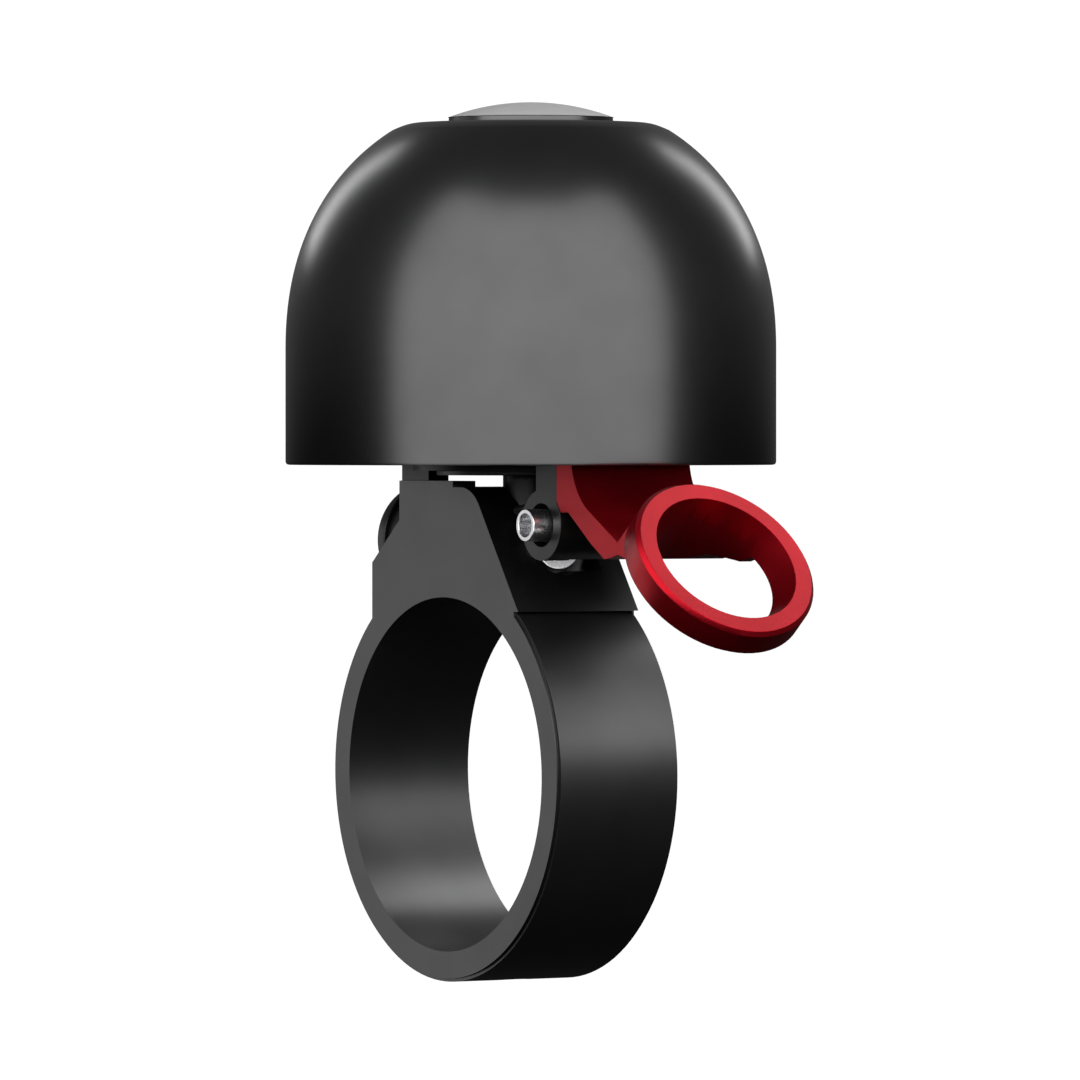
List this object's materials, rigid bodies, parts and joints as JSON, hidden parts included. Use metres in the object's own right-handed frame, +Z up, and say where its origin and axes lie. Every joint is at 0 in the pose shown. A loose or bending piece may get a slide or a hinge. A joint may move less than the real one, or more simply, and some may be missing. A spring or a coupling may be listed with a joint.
{
  "type": "bicycle bell",
  "caption": "Mini handlebar bell: domed metal bell on a closed clamp ring, with a sprung finger-ring lever that swings a hidden hammer against the dome.",
  "frame": {"origin": "centre of the bar bore, halfway along the clamp's width", "axes": "+X along the handlebar, -Y toward the finger ring, +Z up through the dome"},
  "size_m": [0.0308, 0.0414, 0.0551],
  "materials": {
    "black_clamp": "satin black coat on aluminium",
    "black_steel": "matte black coat on steel",
    "black_dome": "satin black coat on a spun metal dome",
    "fibre": "plain fibre washer",
    "red_lever": "fine-grained red anodised coat",
    "brass": "turned",
    "cap_metal": "satin grey",
    "spring_steel": "oiled spring wire",
    "bright_steel": "zinc plated"
  },
  "bodies": {
    "bell_base": {"clamp_band": "black_clamp", "bar_grub_screw": "bright_steel", "cross_bolt": "black_steel", "sleeve_nut": "bright_steel", "post": "black_steel", "base_collar": "black_steel", "pivot_bracket": "black_steel", "base_nut": "bright_steel", "pivot_bush": "brass", "pivot_pin": "bright_steel", "torsion_spring": "spring_steel", "crown_washer": "fibre", "dome": "black_dome", "cap_washer": "black_dome", "cap_screw": "cap_metal"},
    "striker": {"hammer_yoke": "black_steel", "finger_lever": "red_lever", "lever_rivets": "bright_steel", "hammer_head": "brass", "hammer_washer": "bright_steel"}
  },
  "joints": [
    {"name": "lever_pivot", "type": "hinge", "parent": "bell_base", "child": "striker", "pos_m": [0, -0.0109, 0.0157], "axis": [1, 0, 0], "range_deg": [0, 11.5], "stiffness_Nm_per_rad": 0.02, "deforming": ["torsion_spring"]}
  ]
}
